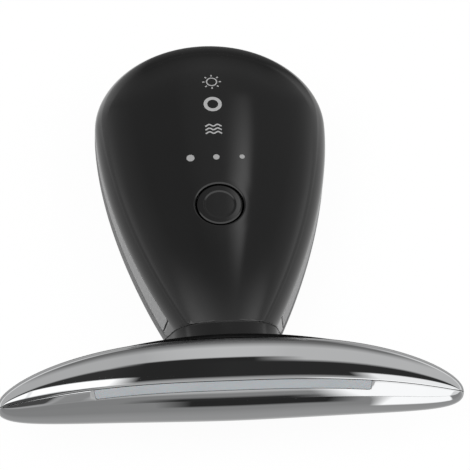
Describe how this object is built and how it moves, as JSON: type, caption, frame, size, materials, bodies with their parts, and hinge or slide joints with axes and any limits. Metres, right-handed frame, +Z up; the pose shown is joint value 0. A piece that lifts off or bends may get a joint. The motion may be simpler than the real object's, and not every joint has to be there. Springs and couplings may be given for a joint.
{
  "type": "neck massager",
  "caption": "Handheld neck massager: a domed leaf-shaped handle with a press button and indicator dots, and a long curved plated treatment head with a light strip.",
  "frame": {"origin": "centre of the box around the part, at its lowest level, where the rear cover's flat floor rests", "axes": "+X along the head, +Y from the head to the handle's tail, +Z up through the front cover"},
  "size_m": [0.1138, 0.116, 0.0301],
  "materials": {
    "gloss_black": "high gloss black moulding",
    "silver_trim": "satin silver coating",
    "silver_case": "satin silver-grey coating",
    "plated_shell": "mirror plating",
    "light_diffuser": "milky translucent moulding",
    "dark_plastic": "fine matte moulding",
    "seal_rubber": "matte",
    "board_green": "solder mask over fibreglass",
    "led_lens": "clear yellow resin",
    "heater_film": "amber polyimide film",
    "chip_black": "moulded resin",
    "contact_brass": "rolled strip",
    "screw_steel": "zinc plated",
    "cell_foil": "laminated foil pouch",
    "foam_pad": "closed-cell foam",
    "wire_red": "wire insulation",
    "wire_black": "wire insulation"
  },
  "bodies": {
    "root": {"front_cover": "gloss_black", "side_trim": "silver_trim", "rear_cover": "silver_case", "neck_seal": "seal_rubber", "head_upper_shell": "plated_shell", "head_lower_shell": "plated_shell", "light_window": "light_diffuser", "head_back_cover": "gloss_black", "head_frame": "dark_plastic", "led_board": "board_green", "treatment_led_1": "led_lens", "treatment_led_2": "led_lens", "treatment_led_3": "led_lens", "treatment_led_4": "led_lens", "treatment_led_5": "led_lens", "heating_film": "heater_film", "thermistor": "chip_black", "upper_contact": "contact_brass", "lower_contact": "contact_brass", "head_screw_left": "screw_steel", "head_screw_right": "screw_steel", "switch_body": "chip_black", "indicator_guide_1": "light_diffuser", "indicator_guide_2": "light_diffuser", "indicator_guide_3": "light_diffuser", "indicator_led_1": "led_lens", "indicator_led_2": "led_lens", "indicator_led_3": "led_lens", "main_board": "board_green", "control_chip": "chip_black", "boost_coil": "dark_plastic", "board_screw_1": "screw_steel", "board_screw_2": "screw_steel", "board_screw_3": "screw_steel", "board_screw_4": "screw_steel", "case_screw_1": "screw_steel", "case_screw_2": "screw_steel", "case_screw_3": "screw_steel", "case_screw_4": "screw_steel", "cell_pad": "foam_pad", "battery_cell": "cell_foil", "cell_lead_plus": "wire_red", "cell_lead_minus": "wire_black", "motor_can": "screw_steel", "motor_holder": "seal_rubber", "motor_lead_plus": "wire_red", "motor_lead_minus": "wire_black", "charge_socket": "screw_steel", "socket_tongue": "chip_black", "charge_board": "board_green", "charge_chip": "chip_black", "neck_bracket": "screw_steel", "head_cable": "wire_black"},
    "button": {"button_cap": "gloss_black", "switch_plunger": "dark_plastic"},
    "rotor": {"motor_shaft": "screw_steel", "eccentric_weight": "contact_brass"}
  },
  "joints": [
    {"name": "button_press", "type": "slide", "parent": "root", "child": "button", "axis": [0, 0, -1], "range_m": [0, 0.0005], "stiffness_N_per_m": 1500},
    {"name": "motor_spin", "type": "hinge", "parent": "root", "child": "rotor", "pos_m": [0, -0.0155, 0.0086], "axis": [0, 1, 0], "continuous": true}
  ]
}
